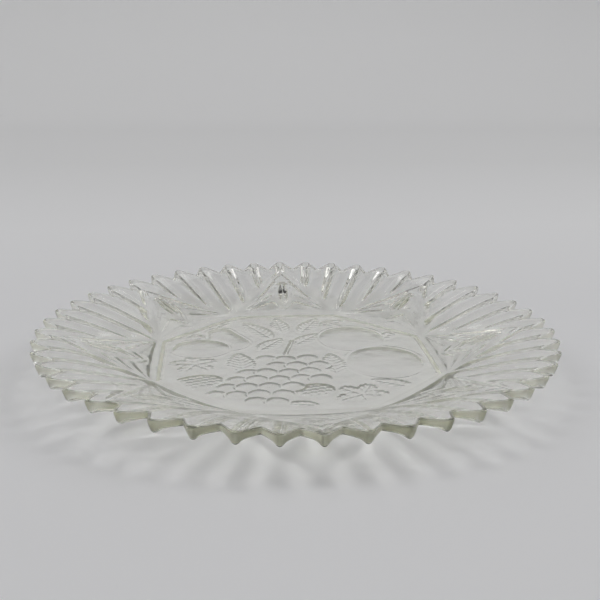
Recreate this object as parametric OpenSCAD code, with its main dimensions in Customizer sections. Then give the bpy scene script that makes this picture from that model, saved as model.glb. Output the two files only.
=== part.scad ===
// Round serving dish of clear pressed glass.
// The inside is a plain surface of revolution: a flat floor, a soft knee and a flaring wall.
// The pattern is pressed in the underside: an eight-sided floor with a fruit group, eight gable
// panels set as a star, and fans of ribs between them that run out into the points of the rim.
// The dish is one piece of glass. It is drawn as its moulded zones, which meet face to face.
// Z is the axis of the dish, Z = 0 is the table, and one gable points along +Y.

/* [Overall] */
// Diameter over the points of the rim
tip_d = 305; // [295:1:315]
// Height of the rim's points above the table
rim_h = 26; // [24:0.5:28]
// Points of the rim for each gable of the star
points_per_gable = 6; // [5:1:7]
// Depth of the notches between the points
notch = 11; // [9:0.5:12]
// Width of the points' blunt ends
tip_w = 4.5; // [3.5:0.25:5.5]
// Lean of the points' ends towards the foot, as a part of their height
lean = 0.35; // [0.2:0.05:0.5]

/* [Well] */
// Radius at which the flat floor ends and the wall begins to rise
floor_r = 84; // [82:0.5:85]
// Distance of the floor's eight corners from the axis
oct_r = 92; // [91.5:0.25:93]
// Height of the floor's upper face above the table
floor_top = 6.5; // [6.2:0.1:7]
// Thickness of the glass in the floor
floor_t = 5; // [4.6:0.1:5.4]

/* [Wall and rim] */
// Thickness of the glass at the points of the rim
rim_t = 7.4; // [7:0.1:8]
// Width of the rib crests between the flutes
rib_w = 3; // [2.5:0.1:4]
// Depth of the flutes at the floor's corners
flute_in = 1.6; // [1.4:0.1:2]
// Depth of the flutes at the rim
flute_out = 2.2; // [2:0.1:2.8]
// Inner radius of the band that carries the rim's points
band_r = 132; // [129:0.5:133]

/* [Star] */
// Distance of the gables' points from the axis
apex_r = 141; // [139:0.5:142]
// Depth of the ornament pressed in the gables
mitre = 1.2; // [0.8:0.1:1.5]

/* [Foot] */
// Distance of the foot's inner sides from the axis
foot_in = 80.5; // [80:0.25:81.5]
// Distance of the foot's outer sides from the axis
foot_out = 84; // [83:0.25:84.25]

/* [Fruit group] */
// Depth of the large fruit
fruit_d = 1.4; // [1:0.1:2]
// Depth of the grapes
grape_d = 0.8; // [0.6:0.1:1.2]
// Radius of a grape
grape_r = 5.6; // [5:0.1:5.8]
// Depth of the leaves
leaf_d = 0.7; // [0.5:0.1:1]

/* [Hidden] */
$fn = 96;

gables = 8;
step = 360 / gables;
tip_r = tip_d / 2;
span = tip_r - floor_r;
foot_h = floor_top - floor_t;
pitch = step / points_per_gable;
oct_a = oct_r * cos(step / 2);
oct_x = oct_r * sin(step / 2);
glass = [0.86, 0.89, 0.87, 0.55];

// Rise of the wall from 0 at the floor's edge to 1 at the rim: a rounded knee, a straight flare,
// and an easing towards the rim, where the slope is rim_ease of the flare's.
knee = 0.15;
crown = 0.5;
rim_ease = 0.52;
flare = 1 / (1 - knee / 2 - (1 - rim_ease) * (1 - crown) / 2);
function rise(t) = t <= 0 ? 0
  : t < knee ? flare * t * t / (2 * knee)
  : t < crown ? flare * (t - knee / 2)
  : flare * (t - knee / 2) - flare * (1 - rim_ease) * pow(t - crown, 2) / (2 * (1 - crown));
function at(t) = floor_r + t * span;
function z_top(r) = floor_top + (rim_h - floor_top) * rise((r - floor_r) / span);
function thick(r) = floor_t + (rim_t - floor_t) * max(0, (r - floor_r) / span);
function z_crest(r) = z_top(r) - thick(r);
function polar(r, a) = [r * sin(a), r * cos(a)];

// Stations of the profile, as fractions of the wall's width
top_t = [0, 0.05, 0.1, knee, 0.25, 0.375, crown, 0.6, 0.7, 0.8, 0.9, 1, 1.05];
low_t = [0, knee, crown, 1.05];

// Wall of revolution between the floor's edge and just past the rim's points
module wall_ring() {
  rotate_extrude()
    polygon(concat(
      [for (t = top_t) [at(t), z_top(at(t))]],
      [for (i = [len(low_t) - 1 : -1 : 0]) [at(low_t[i]), z_crest(at(low_t[i]))]]));
}

// Layer just under the wall's underside that reaches d into the glass
module crest_layer(d) {
  rotate_extrude()
    polygon(concat(
      [for (t = low_t) [at(t), z_crest(at(t)) + d]],
      [for (i = [len(low_t) - 1 : -1 : 0]) [at(low_t[i]), z_crest(at(low_t[i])) - 4]]));
}

// Floor of revolution, out to just past the corners of the octagon
module floor_disc() {
  rotate_extrude()
    polygon(concat(
      [[0, foot_h]],
      [for (t = [0, knee]) [at(t), z_crest(at(t))]],
      [for (t = [knee, 0.1, 0.05, 0]) [at(t), z_top(at(t))]],
      [[0, floor_top]]));
}

module octagon(r = oct_r) {
  polygon([for (k = [0 : gables - 1]) polar(r, (k + 0.5) * step)]);
}

// Round dent of radius r and depth d in the floor's underside
module dent(x, y, r, d) {
  rho = (r * r + d * d) / (2 * d);
  translate([x, y, foot_h + d - rho]) sphere(rho);
}

// Pointed oval of length l and width w along Y
module pointed_oval(l, w) {
  rho = (l * l + w * w) / (4 * w);
  intersection() {
    translate([rho - w / 2, 0]) circle(rho);
    translate([w / 2 - rho, 0]) circle(rho);
  }
}

// Pressed leaf with its middle at x, y, its length turned a degrees from +Y towards -X
module leaf(x, y, l, w, a) {
  translate([x, y, foot_h - 1]) rotate([0, 0, a])
    linear_extrude(1 + leaf_d) pointed_oval(l, w);
}

// Bunch of grapes: rows across the floor, each with its y, its first x and its number of grapes
bunch_rows = [[-4, -18, 3], [-14.5, -12, 3], [-25, -30, 4], [-35.5, -36, 5], [-46, -42, 4], [-56.5, -48, 4], [-67, -30, 2]];
grape_gap = 12;
module bunch() {
  for (row = bunch_rows, j = [0 : row[2] - 1])
    dent(row[1] + j * grape_gap, row[0], grape_r, grape_d);
}

module fruit_group() {
  bunch();
  // Round fruit
  dent(52, -12, 22, fruit_d);
  dent(38, 31, 20.5, fruit_d);
  dent(-57, 18, 14, fruit_d);
  // Pear
  dent(-36, 33, 10, fruit_d * 0.8);
  dent(-43, 51, 7, fruit_d * 0.6);
  // Leaves
  leaf(-21, 50, 40, 15, 27);
  leaf(31, 60, 20, 10, -60);
  leaf(13, 58, 34, 12, -25);
  leaf(-5, 61, 28, 12, 7);
  leaf(9, 31, 28, 12, -39);
  leaf(-14, 22, 28, 12, -36);
  leaf(23.7, -13, 30, 10, 0);
  leaf(30, -58, 28, 14, -45);
  leaf(51, -44, 20, 11, 60);
  leaf(-60, -12, 28, 16, 62);
  leaf(-60, -36, 24, 13, 55);
}

// Eight-sided floor with the fruit group pressed in its underside
module well_floor() {
  color(glass) difference() {
    intersection() {
      floor_disc();
      linear_extrude(rim_h) octagon();
    }
    fruit_group();
  }
}

// Low eight-sided ridge under the floor's edge that the dish stands on
module foot_ring() {
  color(glass) difference() {
    linear_extrude(foot_h + 1.4) difference() {
      octagon(foot_out / cos(step / 2));
      octagon(foot_in / cos(step / 2));
    }
    floor_disc();
  }
}

// Gable in plan, shrunk by s about a point on its axis. Its corners stop just short of the
// floor's corners, where two gables would otherwise meet in an edge.
gable_mid = oct_a + 0.36 * (apex_r - oct_a);
gable_x = oct_x - 0.6;
module gable(s = 1) {
  polygon([for (p = [[-gable_x, oct_a], [0, apex_r], [gable_x, oct_a]])
    [p[0] * s, gable_mid + (p[1] - gable_mid) * s]]);
}

// Flat-based bow of half width w and height h, standing on y = base
module bow(w, h, base) {
  rho = (w * w + h * h) / (2 * h);
  intersection() {
    translate([0, base + h - rho]) circle(rho);
    translate([-w, base]) square([2 * w, 2 * h]);
  }
}

// Ornament of one gable: a line along its two edges, a pair of slim ovals, and crescents that
// spring from the two corners of the floor
module gable_ornament() {
  difference() {
    gable(0.93);
    gable(0.86);
    translate([-oct_r, 0]) square([2 * oct_r, oct_a + 4]);
  }
  for (s = [-1, 1]) translate([s * 2.1, oct_a + 30.5]) rotate([0, 0, s * 4]) pointed_oval(19, 3);
  bow(oct_x * 0.78, 6, oct_a + 2);
  for (h = [9, 14]) difference() {
    bow(oct_x * 0.74, h + 2.2, oct_a + 2);
    bow(oct_x * 0.78, h, oct_a + 2);
    translate([-oct_r, oct_a]) square([2 * oct_r, 5]);
  }
}

// Eight gable panels round the floor
module star_points() {
  color(glass) for (k = [0 : gables - 1]) rotate([0, 0, -k * step]) difference() {
    intersection() {
      wall_ring();
      linear_extrude(2 * rim_h) gable();
    }
    intersection() {
      crest_layer(mitre);
      linear_extrude(2 * rim_h) gable_ornament();
    }
  }
}

// Plan of the field between two gables, from the floor's corner out to past the rim's band
function turned(p, a) = [p[0] * cos(a) + p[1] * sin(a), p[1] * cos(a) - p[0] * sin(a)];
module fan() {
  polygon([
    [gable_x, oct_a], polar(oct_r, step / 2), turned([-gable_x, oct_a], step),
    polar(apex_r, step), polar(1.3 * band_r, 0.75 * step), polar(1.3 * band_r, 0.25 * step),
    polar(apex_r, 0)]);
}

// Toothed outline of the rim, with blunt points
tip_a = atan(tip_w / 2 / tip_r);
module points_outline() {
  polygon([for (k = [0 : gables * points_per_gable - 1], n = [-1, 0, 1])
    n == 0 ? polar(tip_r - notch, (k + 0.5) * pitch) : polar(tip_r / cos(tip_a), (k + (n + 1) / 2) * pitch - n * tip_a)]);
}

// Rim's plan, raised through its height. Its sides lean in towards the foot and fit the outline at rim_h.
module points_block() {
  low = 1 - lean * rim_h / tip_r;
  high = 1 + lean * 2 / tip_r;
  linear_extrude(rim_h + 2, scale = high / low) scale(low) points_outline();
}

// Tapered flute along the underside, under the middle of a notch
flute_r0 = at(knee);
function chord(r) = 2 * r * sin(pitch / 2) - rib_w;
function flute_rho(c, s) = c * c / (8 * s) + s / 2;
rho0 = flute_rho(chord(flute_r0), flute_in);
rho1 = flute_rho(chord(tip_r), flute_out);
axis0 = z_crest(flute_r0) + flute_in - rho0;
axis1 = z_crest(tip_r) + flute_out - rho1;
taper = (rho1 - rho0) / (tip_r - flute_r0);
climb = (axis1 - axis0) / (tip_r - flute_r0);
module flute() {
  over = 8;
  tilt = atan(climb);
  translate([flute_r0 - over, 0, axis0 - over * climb]) rotate([0, 90 - tilt, 0])
    cylinder(h = (tip_r - flute_r0 + 2 * over) / cos(tilt), r1 = rho0 - over * taper, r2 = rho1 + over * taper);
}

// Eight fans of ribs between the gables
module rib_fans() {
  color(glass) for (k = [0 : gables - 1]) rotate([0, 0, -k * step]) difference() {
    intersection() {
      wall_ring();
      linear_extrude(2 * rim_h) fan();
      cylinder(h = 2 * rim_h, r = band_r);
    }
    for (i = [0 : points_per_gable - 1]) rotate([0, 0, 90 - (i + 0.5) * pitch]) flute();
  }
}

// Band round the rim that ends in the points, with the outer ends of the flutes and ribs
module saw_rim() {
  color(glass) difference() {
    intersection() {
      wall_ring();
      points_block();
    }
    cylinder(h = 4 * rim_h, r = band_r, center = true);
    for (k = [0 : gables - 1]) rotate([0, 0, -k * step])
      translate([0, 0, -1]) linear_extrude(2 * rim_h) gable();
    for (i = [0 : gables * points_per_gable - 1]) rotate([0, 0, 90 - (i + 0.5) * pitch]) flute();
  }
}

well_floor();
foot_ring();
star_points();
rib_fans();
saw_rim();
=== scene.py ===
import math

import bpy
import numpy as np
from mathutils import Matrix, Vector


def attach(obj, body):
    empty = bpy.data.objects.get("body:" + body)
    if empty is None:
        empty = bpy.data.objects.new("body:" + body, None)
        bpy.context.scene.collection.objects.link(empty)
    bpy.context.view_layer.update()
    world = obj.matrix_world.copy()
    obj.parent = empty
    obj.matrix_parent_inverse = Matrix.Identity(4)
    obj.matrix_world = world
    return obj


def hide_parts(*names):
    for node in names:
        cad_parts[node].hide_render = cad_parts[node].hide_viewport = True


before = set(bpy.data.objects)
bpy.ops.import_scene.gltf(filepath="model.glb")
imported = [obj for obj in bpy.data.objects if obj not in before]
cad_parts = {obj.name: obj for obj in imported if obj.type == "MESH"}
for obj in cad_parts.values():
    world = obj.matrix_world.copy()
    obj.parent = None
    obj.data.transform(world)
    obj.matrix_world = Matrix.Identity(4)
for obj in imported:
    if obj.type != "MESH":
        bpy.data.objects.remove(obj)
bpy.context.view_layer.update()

# ---------------------------------------------------------------------------
# Sizes in millimetres, as in the construction model. Z = 0 is the table, one gable points along +Y.
# ---------------------------------------------------------------------------
TIP_R, RIM_H, NOTCH = 152.5, 26.0, 11.0
FLOOR_R, OCT_R, FLOOR_TOP, FLOOR_T, RIM_T = 84.0, 92.0, 6.5, 5.0, 7.4
APEX_R = 141.0
FOOT_IN, FOOT_OUT = 80.5, 84.0
LEAN, TIP_W = 0.35, 4.5
OVAL_MID, OVAL_L, OVAL_W = 114.6, 9.2, 1.6
GABLES, POINTS = 8, 48
KNEE, CROWN, RIM_EASE = 0.15, 0.5, 0.52
SPAN = TIP_R - FLOOR_R
FOOT_H = FLOOR_TOP - FLOOR_T
STEP = 2 * math.pi / GABLES
PITCH = 2 * math.pi / POINTS
OCT_A, OCT_X = OCT_R * math.cos(STEP / 2), OCT_R * math.sin(STEP / 2)
FLARE = 1 / (1 - KNEE / 2 - (1 - RIM_EASE) * (1 - CROWN) / 2)


def smooth(lo, hi, x):
    t = np.clip((x - lo) / (hi - lo), 0.0, 1.0)
    return t * t * (3 - 2 * t)


def bump(x, half):
    """1 at x = 0, falling smoothly to 0 at half either side."""
    return 1 - smooth(0.0, half, np.abs(x))


def soft_pos(q, e):
    """max(q, 0) with its corner rounded over about e."""
    return 0.5 * (q + np.sqrt(q * q + e * e))


def rise(t):
    a = FLARE * t * t / (2 * KNEE)
    b = FLARE * (t - KNEE / 2)
    c = b - FLARE * (1 - RIM_EASE) * (t - CROWN) ** 2 / (2 * (1 - CROWN))
    return np.where(t <= 0, 0.0, np.where(t < KNEE, a, np.where(t < CROWN, b, c)))


def z_top(r):
    return FLOOR_TOP + (RIM_H - FLOOR_TOP) * rise((r - FLOOR_R) / SPAN)


def z_crest(r):
    return z_top(r) - FLOOR_T - (RIM_T - FLOOR_T) * np.maximum(0.0, (r - FLOOR_R) / SPAN)


def rib_offset(a):
    """Angle from the nearest rib, in pitches, from -0.5 to 0.5."""
    k = a / PITCH
    return k - np.round(k)


def rim_radius(a):
    """Toothed outline with blunt points, its corners a little rounded by the fire polish."""
    half = PITCH * TIP_R / 2
    x = np.abs(rib_offset(a)) * 2 * half
    steep = NOTCH / (half - TIP_W / 2)
    side = TIP_R - NOTCH + steep * soft_pos(half - x, 1.2) - steep * soft_pos(0.0, 1.2)
    return TIP_R - soft_pos(TIP_R - side, 0.7) + 0.12


# ---------------------------------------------------------------------------
# Relief of the underside: how far it is pressed up into the glass
# ---------------------------------------------------------------------------
def flutes(r, a):
    # half-round ribs, with a slightly hollow web between them
    half = PITCH * r / 2
    x = np.abs(rib_offset(a)) * PITCH * r
    out = np.clip((r - 94.0) / 58.0, 0.0, 1.0)
    v = np.clip(x / (2.5 + 0.6 * out), 0.0, 1.0)
    hollow = 1 - ((half - x) / half) ** 2
    return (0.8 + 1.1 * out) * (0.35 * v * v + 0.65 * smooth(0.2, 1.0, v)) + 1.2 * hollow


def gable_coords(r, a):
    k = a / STEP
    off = (k - np.round(k)) * STEP
    x, y = r * np.sin(off), r * np.cos(off)
    edge = ((APEX_R - y) * OCT_X - np.abs(x) * (APEX_R - OCT_A)) / math.hypot(OCT_X, APEX_R - OCT_A)
    return x, y, edge


LEVELS = (0.0, 9.5, 17.5, 25.0)


def oval(y):
    """Distance from the gable's axis and half width of its two slim leaves, at y along the axis."""
    return 1.75 - 0.06 * (y - OVAL_MID), OVAL_W * np.clip(1 - ((y - OVAL_MID) / OVAL_L) ** 2, 0, 1)


def gable_relief(x, y, edge):
    # how far up the gable a point lies, counted in arches that spring from its two corners and dip on its axis
    u = np.abs(x)
    arch = np.clip(1 - (np.minimum(u, OCT_X) / (OCT_X - 0.5)) ** 1.3, 0.01, 1) * (0.6 + 0.75 * smooth(0.0, 9.0, u))
    h = np.maximum(y - OCT_A, 0.0) / arch
    # plain panel under the point, inside a raised border
    g = 0.9 * smooth(0.9, 3.6, edge) * smooth(LEVELS[-1], LEVELS[-1] + 1.5, h)
    # crescents scooped between the arches
    for lo, hi, d in zip(LEVELS[:-1], LEVELS[1:], (0.7, 0.7, 0.6)):
        t = np.clip((h - lo) / (hi - lo), 0, 1)
        g = g + d * (4 * t * (1 - t)) ** 1.5
    # pair of slim keeled leaves that stand in a hollow on the axis
    g = np.maximum(g, OVAL_W * smooth(0.0, 0.5, 1 - (u / 7.0) ** 2 - ((y - OVAL_MID) / 14.0) ** 2))
    mid, half = oval(y)
    g = g - np.clip(half - np.abs(u - mid), 0, None)
    # cut chevron at the point
    return g + 1.5 * bump(edge - 2.0, 1.0) * smooth(128.0, 130.5, y)


def underside(r, a):
    x, y, edge = gable_coords(r, a)
    fans = flutes(r, a)
    gable = gable_relief(x, y, edge)
    # a raised line along each side of the gables, crisp near the point and broad lower down
    soft = smooth(130.0, 114.0, y)
    relief = fans * smooth(0.3, 2.2 + 6.0 * soft, -edge) + gable * smooth(0.3, 2.0 + 3.0 * soft, edge)
    # the pattern starts at the sides of the floor
    return relief * smooth(0.4, 2.6, y - OCT_A)


# ---------------------------------------------------------------------------
# Fruit group pressed in the floor's underside. Each piece of it stands clear of what it covers by a
# narrow raised line.
# ---------------------------------------------------------------------------
BUNCH = (
    (-4.0, -18.0, 3), (-14.5, -12.0, 3), (-25.0, -30.0, 4), (-35.5, -36.0, 5), (-46.0, -42.0, 4), (-56.5, -48.0, 4),
    (-66.5, -27.0, 2),
)
GRAPE_GAP, GRAPE_R = 12.0, 6.4
ROUND = ((38.0, 31.0, 20.5, 22.5), (52.0, -12.0, 22.5, 25.5), (-57.0, 18.0, 18.0, 15.5))
PEAR = ((-40.0, 27.0, 13.0), (-45.0, 47.0, 8.0))
BERRIES = ((-58.0, -37.0, 14.5, 10.0, 20.0), (6.0, -53.0, 11.5, 9.0, 15.0))
LEAVES = (
    (-21.0, 50.0, 40.0, 15.0, 27.0),
    (28.0, 62.0, 24.0, 11.0, -60.0),
    (13.0, 58.0, 34.0, 13.0, -25.0),
    (-6.0, 59.0, 32.0, 13.0, 7.0),
    (9.0, 31.0, 28.0, 13.0, -39.0),
    (-14.0, 23.0, 28.0, 13.0, -36.0),
    (-33.0, -8.0, 34.0, 17.0, 5.0),
    (21.0, -13.0, 36.0, 15.0, 0.0),
    (50.0, -46.0, 27.0, 14.0, 60.0),
    (62.0, 35.0, 22.0, 10.0, -35.0),
    (-62.0, 41.0, 20.0, 10.0, 50.0),
    (-3.0, -71.0, 20.0, 9.0, 80.0),
)
VINE = ((31.0, -60.0, 17.0, 190.0), (-60.0, -9.0, 15.5, 80.0))
STEMS = (
    ((-6.0, 2.0), (-5.0, 10.0), (-2.0, 18.0), (0.0, 28.0)),
    ((36.0, 50.0), (34.0, 56.0), (30.0, 60.0), (24.0, 63.0)),
    ((-46.0, 54.0), (-46.0, 58.0), (-44.0, 62.0), (-40.0, 66.0)),
)


def grapes():
    for i, (y, x, n) in enumerate(BUNCH):
        for j in range(n):
            yield x + j * GRAPE_GAP + 0.8 * math.sin(12.9 * i + 4.1 * j), y + 0.7 * math.cos(7.3 * i + 9.7 * j)


def lay(f, inside, depth):
    """Press a shape over the relief: inside is its distance from the outline in millimetres, positive within."""
    f = f * smooth(0.0, 1.6, -inside)
    return np.where(inside > 0, depth, f)


def turned(x, y, cx, cy, degrees):
    t = math.radians(degrees)
    u = (x - cx) * math.cos(t) + (y - cy) * math.sin(t)
    return u, -(x - cx) * math.sin(t) + (y - cy) * math.cos(t)


def fold(x, gap):
    """Distance to the nearest multiple of gap."""
    return np.abs(x / gap - np.round(x / gap)) * gap


def leaf(f, x, y, cx, cy, length, width, turn):
    u, v = turned(x, y, cx, cy, turn)
    s = np.clip(2 * v / length, -1, 1)
    teeth = 0.09 * (fold(v + np.abs(u) * 0.7, 3.4) / 1.7 - 0.5)
    w = 0.5 * width * (1 - s * s) ** 0.8 * (1 - 0.22 * s) * (1 + teeth)
    inside = np.where(np.abs(2 * v / length) < 1, w - np.abs(u), -(np.hypot(u, np.abs(v) - length / 2)))
    vein = np.maximum(0.75 * bump(u, 1.0), 0.5 * bump(fold(v - np.abs(u) * 0.9, 4.4), 0.9))
    return lay(f, inside, smooth(0, 1.8, inside) * (0.48 - 0.34 * vein))


def vine_leaf(f, x, y, cx, cy, size, turn):
    u, v = turned(x, y, cx, cy, turn)
    rho, th = np.hypot(u, v), np.arctan2(u, v)
    lobes = np.abs(np.cos(2.5 * th))
    rim = size * (0.60 + 0.40 * lobes ** 0.9) * (1 - 0.12 * np.abs(th) / np.pi)
    rim = rim * (1 + 0.05 * (fold(th, 0.20) / 0.10 - 0.5) * 2)
    inside = (rim - rho) * 0.8
    k = np.round(th / (2 * np.pi / 5))
    off = th - k * 2 * np.pi / 5
    along, across = rho * np.cos(off), np.abs(rho * np.sin(off))
    vein = np.maximum(0.8 * bump(across, 1.1), 0.5 * bump(fold(along - across * 0.9, 4.6), 0.9))
    return lay(f, inside, smooth(0, 1.8, inside) * (0.5 - 0.36 * vein))


def berry(f, x, y, cx, cy, rx, ry, turn):
    u, v = turned(x, y, cx, cy, turn)
    q = np.hypot(u / rx, v / ry)
    inside = (1 - q) * min(rx, ry)
    p, row = 4.4, v / 3.8
    j = np.round(row)
    du = u - 0.5 * p * (np.abs(j) % 2)
    du = du - np.round(du / p) * p
    dv = (row - j) * 3.8
    bead = np.sqrt(np.clip(1 - (du * du + dv * dv) / 2.5 ** 2, 0, 1))
    return lay(f, inside, np.sqrt(np.clip(1 - q * q, 0, 1)) * 0.8 + 0.7 * bead * smooth(0, 1.0, inside))


def ball(f, x, y, cx, cy, rx, ry, d, flat):
    q = np.hypot((x - cx) / rx, (y - cy) / ry)
    return lay(f, (1 - q) * min(rx, ry), d * np.clip(1 - q ** flat, 0, 1) ** 0.8)


def outline(f, inside):
    """Fine line just outside a large fruit."""
    return np.maximum(f, 0.16 * bump(inside + 1.3, 1.3))


def stem(f, x, y, points):
    p = np.array(points)
    t = np.linspace(0, 1, 25)[:, None]
    c = (1 - t) ** 3 * p[0] + 3 * t * (1 - t) ** 2 * p[1] + 3 * t * t * (1 - t) * p[2] + t ** 3 * p[3]
    best = np.full(x.shape, 1e9)
    for (ax, ay), (bx, by) in zip(c[:-1], c[1:]):
        dx, dy = bx - ax, by - ay
        s = np.clip(((x - ax) * dx + (y - ay) * dy) / (dx * dx + dy * dy), 0, 1)
        best = np.minimum(best, np.hypot(x - ax - s * dx, y - ay - s * dy))
    inside = 1.3 - best
    return lay(f, inside, 0.9 * np.sqrt(np.clip(inside / 1.3, 0, 1)))


def fruit_relief(x, y):
    f = np.zeros_like(x)
    for l in LEAVES:
        f = leaf(f, x, y, *l)
    for l in VINE:
        f = vine_leaf(f, x, y, *l)
    for s in STEMS:
        f = stem(f, x, y, s)
    (ax, ay, ar), (bx, by, br) = PEAR
    t = np.clip(((x - ax) * (bx - ax) + (y - ay) * (by - ay)) / ((bx - ax) ** 2 + (by - ay) ** 2), 0, 1)
    r = ar + (br - ar) * t
    q = np.hypot(x - ax - t * (bx - ax), y - ay - t * (by - ay)) / r
    f = outline(lay(f, (1 - q) * r, 1.1 * np.clip(1 - q ** 3, 0, 1) ** 0.8), (1 - q) * r)
    for cx, cy, rx, ry in ROUND:
        q = np.hypot((x - cx) / rx, (y - cy) / ry)
        f = outline(ball(f, x, y, cx, cy, rx, ry, 1.2, 4.0), (1 - q) * min(rx, ry))
    for b in BERRIES:
        f = berry(f, x, y, *b)
    for cx, cy in grapes():
        f = ball(f, x, y, cx, cy, GRAPE_R, GRAPE_R, 0.5, 5.0)
    return 0.8 * f * (1 - smooth(75.0, 76.8, np.hypot(x, y)))


# ---------------------------------------------------------------------------
# One closed mesh of the whole pressing: a square-celled disc under the floor, then ring by ring out
# under the wall, round the rim, and back over the inside
# ---------------------------------------------------------------------------
PER_POINT = 16
COUNT = POINTS * PER_POINT
DISC_N = COUNT // 4
DISC_R = 77.0
BLEND_R = 124.0


def ring_angles(r):
    """Angles of a ring's points: evenly spaced on the floor, closer at the ribs on the wall."""
    k = np.arange(COUNT) / PER_POINT
    off = k - np.round(k)
    p = 1 + 0.4 * smooth(84.0, 100.0, np.float64(r))
    a = (np.round(k) + np.sign(off) * 0.5 * np.abs(2 * off) ** p) * PITCH
    # five columns each side of a gable's axis follow the keel and the edges of its leaf
    w = smooth(103.0, 105.0, np.float64(r)) * (1 - smooth(122.8, 124.0, np.float64(r)))
    mid, half = oval(np.float64(r))
    for i in range(5):
        t = math.asin((mid + max(half, 0.3) * (i - 2) / 2) / r)
        for side in (-1, 1):
            j = (np.arange(GABLES) * (COUNT // GABLES) + side * (i + 1)) % COUNT
            axis = np.arange(GABLES) * STEP + (2 * math.pi if side < 0 else 0.0) * (np.arange(GABLES) == 0)
            a[j] = a[j] * (1 - w) + (axis + side * t) * w
    return a


def off_axis(a):
    """Angle from the nearest gable's axis."""
    k = a / STEP
    return (k - np.round(k)) * STEP


def ring_radius(r, a):
    """Rings are round under the fruit and on the wall, and eight-sided along the edge of the floor."""
    w = smooth(76.8, 79.0, np.float64(r)) * (1 - smooth(88.0, 112.0, np.float64(r)))
    return r * (1 + w * (1 / np.cos(off_axis(a)) - 1))


def foot_drop(r, a):
    """The foot is a low eight-sided ridge: a step down at the edge of the floor, and a slope back up to the wall."""
    y = r * np.cos(off_axis(a))
    return FOOT_H * smooth(FOOT_IN - 1.8, FOOT_IN + 1.2, y) * (1 - smooth(FOOT_OUT - 0.6, FOOT_OUT + 9.0, y))


def z_low(r, a):
    return np.maximum(0.0, z_crest(r) + underside(r, a) - foot_drop(r, a))


def polar(r, a, z):
    return np.stack((r * np.sin(a), r * np.cos(a), z), 1)


def bezier(p0, p1, p2, ts):
    for t in ts:
        yield tuple((1 - t) ** 2 * u + 2 * t * (1 - t) * v + t * t * w for u, v, w in zip(p0, p1, p2))


def build_rings():
    rings = []
    for r in np.concatenate([
            [77.6, 78.4, 79.2, 79.8, 80.0, 80.2, 80.4, 80.6, 80.8, 81.0, 81.4, 82.4, 83.3, 84.1],
            np.linspace(84.9, 88.4, 8), np.linspace(89.4, BLEND_R, 29)]):
        a = ring_angles(r)
        rr = ring_radius(r, a)
        rings.append(polar(rr, a, z_low(rr, a)))
    a = ring_angles(TIP_R)
    rim = rim_radius(a)
    top = z_top(rim)
    # the points' ends lean in towards the foot
    end = rim - LEAN * RIM_T
    for _ in range(30):
        end = rim - LEAN * (top - z_low(end, a))
    low = z_low(end, a)
    e1, e2 = 1.3, 2.8
    for t in np.linspace(0, 1, 21)[1:]:
        r = BLEND_R + (end - e1 - BLEND_R) * t
        rings.append(polar(r, a, z_low(r, a)))
    n = math.hypot(LEAN, 1)
    face1 = (end + e1 * LEAN / n, low + e1 / n)
    face2 = (rim - e2 * LEAN / n, top - e2 / n)
    for r, z in bezier((end - e1, z_low(end - e1, a)), (end, low), face1, (0.25, 0.5, 0.75, 1.0)):
        rings.append(polar(r, a, z))
    for t in (0.15, 0.5, 0.85):
        rings.append(polar(face1[0] * (1 - t) + face2[0] * t, a, face1[1] * (1 - t) + face2[1] * t))
    for r, z in bezier(face2, (rim, top), (rim - e2, z_top(rim - e2)), (0.0, 0.17, 0.33, 0.5, 0.67, 0.83, 1.0)):
        rings.append(polar(r, a, z))
    for t in (0.97, 0.85, 0.65, 0.45, 0.25, 0.0):
        r = BLEND_R + (rim - e2 - BLEND_R) * t
        rings.append(polar(r, a, z_top(r)))
    for r in np.concatenate([np.linspace(120.0, 97.0, 7), np.linspace(94.4, 84.0, 9), [82.0, 60.0, 35.0, 12.0]]):
        a = ring_angles(r)
        rr = np.full(COUNT, r)
        rings.append(polar(rr, a, z_top(rr)))
    return rings


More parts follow.
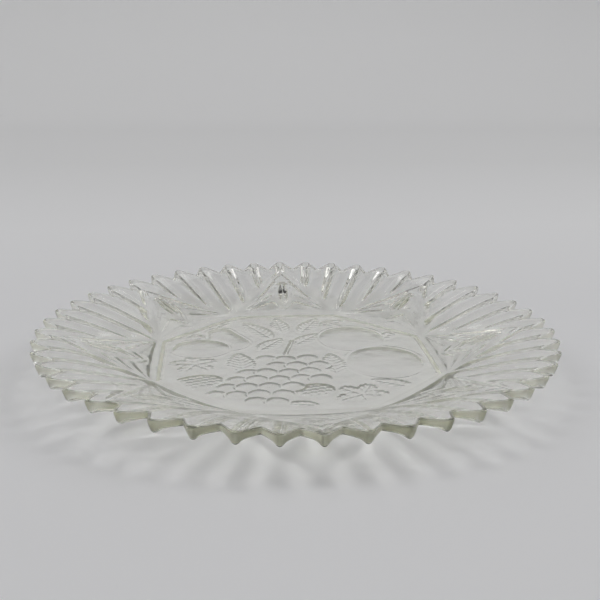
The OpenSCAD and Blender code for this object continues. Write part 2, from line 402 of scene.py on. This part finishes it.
def build_dish():
    # disc under the floor, with as many points on its edge as a ring has
    n = DISC_N
    g = np.linspace(-1, 1, n + 1)
    u, v = np.meshgrid(g, g, indexing="ij")
    wide = np.abs(u) >= np.abs(v)
    rad = np.where(wide, u, v)
    with np.errstate(divide="ignore", invalid="ignore"):
        ang = np.where(wide, math.pi / 4 * v / u, math.pi / 2 - math.pi / 4 * u / v)
    ang = np.where(rad == 0, 0.0, ang)
    dx, dy = DISC_R * rad * np.cos(ang), DISC_R * rad * np.sin(ang)
    rho, ang = np.hypot(dx, dy), np.arctan2(dx, dy)
    low = np.maximum(0.0, z_crest(rho) + fruit_relief(dx, dy) - foot_drop(rho, ang))
    disc = np.stack((dx, dy, low), 2).reshape(-1, 3)
    idx = np.arange((n + 1) ** 2).reshape(n + 1, n + 1)
    quads = [np.stack((idx[:-1, :-1], idx[:-1, 1:], idx[1:, 1:], idx[1:, :-1]), 2).reshape(-1, 4)]
    border = np.unique(np.concatenate((idx[0], idx[-1], idx[:, 0], idx[:, -1])))
    where = np.round(np.arctan2(disc[border, 0], disc[border, 1]) / (2 * math.pi) * COUNT).astype(int) % COUNT
    edge = np.empty(COUNT, int)
    edge[where] = border

    rings = build_rings()
    verts = np.concatenate([disc] + rings + [np.array([[0, 0, FLOOR_TOP]])]) * 0.001
    j = np.arange(COUNT)
    k = (j + 1) % COUNT
    prev = edge
    for i in range(len(rings)):
        ring = len(disc) + i * COUNT + j
        quads.append(np.stack((prev, ring, ring[k], prev[k]), 1))
        prev = ring
    quads = np.concatenate(quads)
    tri = np.stack((prev, np.full(COUNT, len(verts) - 1), prev[k]), 1)
    mesh = bpy.data.meshes.new("glass_dish")
    loops = np.concatenate((tri.ravel(), quads.ravel()))
    starts = np.concatenate((np.arange(len(tri)) * 3, len(tri) * 3 + np.arange(len(quads)) * 4))
    mesh.vertices.add(len(verts))
    mesh.vertices.foreach_set("co", verts.ravel())
    mesh.loops.add(len(loops))
    mesh.loops.foreach_set("vertex_index", loops.astype(np.int32))
    mesh.polygons.add(len(starts))
    mesh.polygons.foreach_set("loop_start", starts.astype(np.int32))
    mesh.update(calc_edges=True)
    mesh.validate()
    # all is smooth but for the facets of the keeled leaves
    smoothed = np.ones(len(mesh.polygons), bool)
    first = len(tri) + n * n
    for i in range(len(rings)):
        r = np.hypot(*rings[i][0, :2])
        if i < 52 and OVAL_MID - OVAL_L < r < OVAL_MID + OVAL_L + 1.2:
            for c in (1, 2, 3, 4, -2, -3, -4, -5):
                smoothed[first + i * COUNT + (np.arange(GABLES) * (COUNT // GABLES) + c) % COUNT] = False
    mesh.polygons.foreach_set("use_smooth", smoothed)
    obj = bpy.data.objects.new("glass_dish", mesh)
    bpy.context.scene.collection.objects.link(obj)
    return obj


# ---------------------------------------------------------------------------
# Materials
# ---------------------------------------------------------------------------
def glass_material():
    m = bpy.data.materials.new("pressed_glass")
    m.use_nodes = True
    nt = m.node_tree
    nt.nodes.clear()
    out = nt.nodes.new("ShaderNodeOutputMaterial")
    bsdf = nt.nodes.new("ShaderNodeBsdfPrincipled")
    bsdf.inputs["Base Color"].default_value = (1.0, 1.0, 0.982, 1)
    bsdf.inputs["Transmission Weight"].default_value = 1.0
    bsdf.inputs["IOR"].default_value = 1.47
    coord = nt.nodes.new("ShaderNodeTexCoord")
    # fire-polish ripple: long soft waves with a finer skin on them
    wave = nt.nodes.new("ShaderNodeTexNoise")
    wave.inputs["Scale"].default_value = 70.0
    wave.inputs["Detail"].default_value = 2.0
    wave.inputs["Roughness"].default_value = 0.45
    ripple = nt.nodes.new("ShaderNodeBump")
    ripple.inputs["Strength"].default_value = 0.12
    ripple.inputs["Distance"].default_value = 0.002
    nt.links.new(coord.outputs["Object"], wave.inputs["Vector"])
    nt.links.new(wave.outputs["Fac"], ripple.inputs["Height"])
    nt.links.new(ripple.outputs["Normal"], bsdf.inputs["Normal"])
    # handling haze: roughness wanders a little
    haze = nt.nodes.new("ShaderNodeTexNoise")
    haze.inputs["Scale"].default_value = 28.0
    haze.inputs["Detail"].default_value = 4.0
    span = nt.nodes.new("ShaderNodeMapRange")
    span.inputs["To Min"].default_value = 0.0
    span.inputs["To Max"].default_value = 0.03
    nt.links.new(coord.outputs["Object"], haze.inputs["Vector"])
    nt.links.new(haze.outputs["Fac"], span.inputs["Value"])
    # the inside is fire-polished, while the underside and the flanks of the points keep the mould's fine skin
    geo = nt.nodes.new("ShaderNodeNewGeometry")
    facing = nt.nodes.new("ShaderNodeSeparateXYZ")
    nt.links.new(geo.outputs["Normal"], facing.inputs["Vector"])
    outward = nt.nodes.new("ShaderNodeMapRange")
    outward.inputs["To Min"].default_value = 1.0
    outward.inputs["To Max"].default_value = -1.0
    nt.links.new(geo.outputs["Backfacing"], outward.inputs["Value"])
    level = nt.nodes.new("ShaderNodeMath")
    level.operation = "MULTIPLY"
    nt.links.new(facing.outputs["Z"], level.inputs[0])
    nt.links.new(outward.outputs["Result"], level.inputs[1])
    skin = nt.nodes.new("ShaderNodeValToRGB")
    e = skin.color_ramp.elements
    e[0].position, e[0].color = 0.2, (0.015, 0.015, 0.015, 1)
    e[1].position, e[1].color = 0.35, (0.6, 0.6, 0.6, 1)
    for pos, x in ((0.7, 0.6), (0.85, 0.0)):
        k = e.new(pos)
        k.color = (x, x, x, 1)
    half = nt.nodes.new("ShaderNodeMapRange")
    half.inputs["From Min"].default_value = -1.0
    nt.links.new(level.outputs[0], half.inputs["Value"])
    nt.links.new(half.outputs["Result"], skin.inputs["Fac"])
    total = nt.nodes.new("ShaderNodeMath")
    nt.links.new(span.outputs["Result"], total.inputs[0])
    nt.links.new(skin.outputs["Color"], total.inputs[1])
    # the fruit group is pressed with the coarsest skin
    place = nt.nodes.new("ShaderNodeSeparateXYZ")
    nt.links.new(coord.outputs["Object"], place.inputs["Vector"])
    low = nt.nodes.new("ShaderNodeMapRange")
    for name, x in (("From Min", 0.0042), ("From Max", 0.0046), ("To Min", 0.12), ("To Max", 0.0)):
        low.inputs[name].default_value = x
    nt.links.new(place.outputs["Z"], low.inputs["Value"])
    flat = nt.nodes.new("ShaderNodeCombineXYZ")
    nt.links.new(place.outputs["X"], flat.inputs["X"])
    nt.links.new(place.outputs["Y"], flat.inputs["Y"])
    reach = nt.nodes.new("ShaderNodeVectorMath")
    reach.operation = "LENGTH"
    nt.links.new(flat.outputs["Vector"], reach.inputs[0])
    within = nt.nodes.new("ShaderNodeMapRange")
    for name, x in (("From Min", 0.074), ("From Max", 0.080), ("To Min", 1.0), ("To Max", 0.0)):
        within.inputs[name].default_value = x
    nt.links.new(reach.outputs["Value"], within.inputs["Value"])
    coarse = nt.nodes.new("ShaderNodeMath")
    coarse.operation = "MULTIPLY_ADD"
    nt.links.new(low.outputs["Result"], coarse.inputs[0])
    nt.links.new(within.outputs["Result"], coarse.inputs[1])
    nt.links.new(total.outputs[0], coarse.inputs[2])
    nt.links.new(coarse.outputs[0], bsdf.inputs["Roughness"])
    vol = nt.nodes.new("ShaderNodeVolumeAbsorption")
    vol.inputs["Color"].default_value = (0.90, 0.91, 0.62, 1)
    vol.inputs["Density"].default_value = 6.5
    nt.links.new(bsdf.outputs["BSDF"], out.inputs["Surface"])
    nt.links.new(vol.outputs["Volume"], out.inputs["Volume"])
    return m


def floor_material():
    m = bpy.data.materials.new("pale_floor")
    m.use_nodes = True
    nt = m.node_tree
    bsdf = nt.nodes["Principled BSDF"]
    bsdf.inputs["Roughness"].default_value = 0.9
    bsdf.inputs["Specular IOR Level"].default_value = 0.1
    coord = nt.nodes.new("ShaderNodeTexCoord")
    noise = nt.nodes.new("ShaderNodeTexNoise")
    noise.inputs["Scale"].default_value = 1.3
    noise.inputs["Detail"].default_value = 1.0
    ramp = nt.nodes.new("ShaderNodeValToRGB")
    ramp.color_ramp.elements[0].color = (0.835, 0.835, 0.85, 1)
    ramp.color_ramp.elements[1].color = (0.865, 0.865, 0.87, 1)
    split = nt.nodes.new("ShaderNodeSeparateXYZ")
    # painted light: the floor is coloured paler just behind the dish
    painted_light_behind = nt.nodes.new("ShaderNodeMapRange")
    for name, x in (("From Min", 0.1), ("From Max", 0.4), ("To Min", 0.0), ("To Max", 1.0)):
        painted_light_behind.inputs[name].default_value = x
    mix = nt.nodes.new("ShaderNodeMix")
    mix.data_type = "RGBA"
    mix.inputs["B"].default_value = (0.89, 0.89, 0.895, 1)
    nt.links.new(coord.outputs["Object"], noise.inputs["Vector"])
    nt.links.new(coord.outputs["Object"], split.inputs["Vector"])
    nt.links.new(split.outputs["Y"], painted_light_behind.inputs["Value"])
    nt.links.new(noise.outputs["Fac"], ramp.inputs["Fac"])
    nt.links.new(ramp.outputs["Color"], mix.inputs["A"])
    nt.links.new(painted_light_behind.outputs["Result"], mix.inputs["Factor"])
    # painted light and shade: the floor is coloured a shade darker further back and paler again where it rises,
    # standing in for how the light falls on it
    painted_shade_rear = nt.nodes.new("ShaderNodeMapRange")
    for name, x in (("From Min", 0.4), ("From Max", 0.9), ("To Min", 0.0), ("To Max", 1.0)):
        painted_shade_rear.inputs[name].default_value = x
    wall = nt.nodes.new("ShaderNodeMix")
    wall.data_type = "RGBA"
    wall.inputs["B"].default_value = (0.83, 0.83, 0.83, 1)
    nt.links.new(split.outputs["Y"], painted_shade_rear.inputs["Value"])
    nt.links.new(mix.outputs["Result"], wall.inputs["A"])
    nt.links.new(painted_shade_rear.outputs["Result"], wall.inputs["Factor"])
    painted_light_backdrop = nt.nodes.new("ShaderNodeMapRange")
    for name, x in (("From Min", 1.4), ("From Max", 2.4), ("To Min", 0.0), ("To Max", 1.0)):
        painted_light_backdrop.inputs[name].default_value = x
    top = nt.nodes.new("ShaderNodeMix")
    top.data_type = "RGBA"
    top.inputs["B"].default_value = (0.96, 0.96, 0.96, 1)
    nt.links.new(split.outputs["Y"], painted_light_backdrop.inputs["Value"])
    nt.links.new(wall.outputs["Result"], top.inputs["A"])
    nt.links.new(painted_light_backdrop.outputs["Result"], top.inputs["Factor"])
    nt.links.new(top.outputs["Result"], bsdf.inputs["Base Color"])
    return m


# ---------------------------------------------------------------------------
# The dish
# ---------------------------------------------------------------------------
dish = build_dish()
dish.data.materials.append(glass_material())
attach(dish, "root")
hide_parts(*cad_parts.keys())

# ---------------------------------------------------------------------------
# Stage: a pale floor that sweeps up into a backdrop, soft light
# ---------------------------------------------------------------------------
def sweep():
    prof = [(-8.0, 0.0), (1.7, 0.0)]
    for i in range(1, 17):
        t = math.pi / 2 * i / 16
        prof.append((1.7 + 1.4 * math.sin(t), 1.4 * (1 - math.cos(t))))
    prof.append((3.1, 2.6))
    verts, faces = [], []
    for y, z in prof:
        for x in (-2.6, 2.6):
            verts.append((x, y, z - 0.0001))
    for i in range(len(prof) - 1):
        faces.append((2 * i, 2 * i + 1, 2 * i + 3, 2 * i + 2))
    # the floor runs on to both sides
    for x0, x1 in ((-8.0, -2.6), (2.6, 8.0)):
        n = len(verts)
        verts += [(x0, -8.0, -0.0001), (x1, -8.0, -0.0001), (x1, 1.7, -0.0001), (x0, 1.7, -0.0001)]
        faces.append((n, n + 1, n + 2, n + 3))
    me = bpy.data.meshes.new("floor_sweep")
    me.from_pydata(verts, [], faces)
    for p in me.polygons:
        p.use_smooth = True
    ob = bpy.data.objects.new("floor_sweep", me)
    bpy.context.scene.collection.objects.link(ob)
    return ob


floor = sweep()
floor.data.materials.append(floor_material())


def area(name, pos, target, size_x, size_y, power, colour=(1, 1, 1)):
    light = bpy.data.lights.new(name, "AREA")
    light.shape = "RECTANGLE"
    light.size, light.size_y = size_x, size_y
    light.energy = power
    light.color = colour
    ob = bpy.data.objects.new(name, light)
    ob.location = pos
    ob.rotation_euler = (Vector(target) - Vector(pos)).to_track_quat("-Z", "Y").to_euler()
    bpy.context.scene.collection.objects.link(ob)
    return ob


area("strip_left", (-1.26, 0.0, 1.80), (0, 0, 0.02), 0.3, 1.0, 4.7)
area("strip_right", (1.50, 0.0, 1.61), (0, 0, 0.02), 0.3, 1.1, 5.8)
area("strip_front", (0.0, -1.32, 1.76), (0, 0, 0.02), 0.3, 0.9, 0.5)
area("backdrop", (0.0, 1.2, 2.5), (0, 3.1, 1.9), 3.0, 0.5, 7.0)


def studio_world():
    """White tent: a broad bright panel at each side, dimmer behind the viewer and overhead."""
    world = bpy.data.worlds.new("studio")
    bpy.context.scene.world = world
    world.use_nodes = True
    nt = world.node_tree
    back = nt.nodes["Background"]
    coord = nt.nodes.new("ShaderNodeTexCoord")
    split = nt.nodes.new("ShaderNodeSeparateXYZ")
    nt.links.new(coord.outputs["Generated"], split.inputs["Vector"])

    def span(value, lo, hi, to_lo, to_hi):
        n = nt.nodes.new("ShaderNodeMapRange")
        n.interpolation_type = "SMOOTHSTEP"
        for name, x in (("From Min", lo), ("From Max", hi), ("To Min", to_lo), ("To Max", to_hi)):
            n.inputs[name].default_value = x
        nt.links.new(value, n.inputs["Value"])
        return n.outputs["Result"]

    def math_node(op, a, b=None):
        n = nt.nodes.new("ShaderNodeMath")
        n.operation = op
        nt.links.new(a, n.inputs[0])
        if b is not None:
            nt.links.new(b, n.inputs[1])
        return n.outputs[0]

    flat = nt.nodes.new("ShaderNodeVectorMath")
    flat.operation = "MULTIPLY"
    flat.inputs[1].default_value = (1.0, 1.0, 0.0)
    nt.links.new(coord.outputs["Generated"], flat.inputs[0])
    reach = nt.nodes.new("ShaderNodeVectorMath")
    reach.operation = "LENGTH"
    nt.links.new(flat.outputs["Vector"], reach.inputs[0])
    across = math_node("DIVIDE", math_node("ABSOLUTE", split.outputs["X"]), reach.outputs["Value"])
    base = math_node("MULTIPLY", span(split.outputs["Y"], -0.3, 0.4, 0.32, 0.76), span(split.outputs["Z"], 0.1, 0.6, 0.15, 1.0))
    base = math_node("MULTIPLY", base, span(split.outputs["Z"], 0.84, 0.95, 1.0, 0.3))
    panels = math_node("MULTIPLY", span(across, 0.78, 0.92, 0.0, 0.58), span(split.outputs["Z"], 0.42, 0.56, 0.0, 1.0))
    panels = math_node("MULTIPLY", panels, span(split.outputs["Z"], 0.82, 0.90, 1.0, 0.0))
    panels = math_node("MULTIPLY", panels, span(split.outputs["X"], -0.2, 0.2, 0.85, 1.25))
    # no light just above the backdrop
    gap = nt.nodes.new("ShaderNodeVectorMath")
    gap.operation = "DOT_PRODUCT"
    nt.links.new(coord.outputs["Generated"], gap.inputs[0])
    gap.inputs[1].default_value = (0.0, 0.64, 0.77)
    above = span(gap.outputs["Value"], 0.89, 0.955, 1.0, 0.03)
    # pale along the horizon
    base = math_node("ADD", base, span(split.outputs["Z"], 0.09, 0.21, 0.38, 0.0))
    level = math_node("MULTIPLY", math_node("ADD", base, panels), above)
    nt.links.new(level, back.inputs["Strength"])
    back.inputs["Color"].default_value = (1.0, 1.0, 1.01, 1)


studio_world()

# ---------------------------------------------------------------------------
# Camera: the photograph's viewing angle
# ---------------------------------------------------------------------------
def place_camera():
    unit = TIP_R * 0.001
    turn, pitch, roll = math.radians(5.16), math.radians(16.57), math.radians(-0.41)
    px, py = 0.0147 * unit, -3.253 * unit
    pos = Vector((px * math.cos(turn) + py * math.sin(turn), -px * math.sin(turn) + py * math.cos(turn), 0.001 * RIM_H + 1.063 * unit))
    fwd = Vector((math.cos(pitch) * math.sin(turn), math.cos(pitch) * math.cos(turn), -math.sin(pitch)))
    right = fwd.cross(Vector((0, 0, 1))).normalized()
    up = right.cross(fwd)
    c, s = math.cos(roll), math.sin(roll)
    right, up = c * right - s * up, s * right + c * up
    cam = bpy.data.cameras.new("camera")
    cam.sensor_width = 36.0
    cam.sensor_fit = "HORIZONTAL"
    cam.lens = 879.0 / 600.0 * 36.0
    cam.clip_start, cam.clip_end = 0.01, 20.0
    ob = bpy.data.objects.new("camera", cam)
    ob.matrix_world = Matrix((
        (right.x, up.x, -fwd.x, pos.x), (right.y, up.y, -fwd.y, pos.y), (right.z, up.z, -fwd.z, pos.z), (0, 0, 0, 1)))
    bpy.context.scene.collection.objects.link(ob)
    bpy.context.scene.camera = ob


place_camera()

scene = bpy.context.scene
scene.view_settings.view_transform = "Standard"
cy = scene.cycles
cy.max_bounces = 28
cy.transmission_bounces = 24
cy.glossy_bounces = 12
cy.diffuse_bounces = 4
cy.caustics_reflective = True
cy.caustics_refractive = True
cy.blur_glossy = 0.0
cy.sample_clamp_indirect = 30.0
cy.use_denoising = True
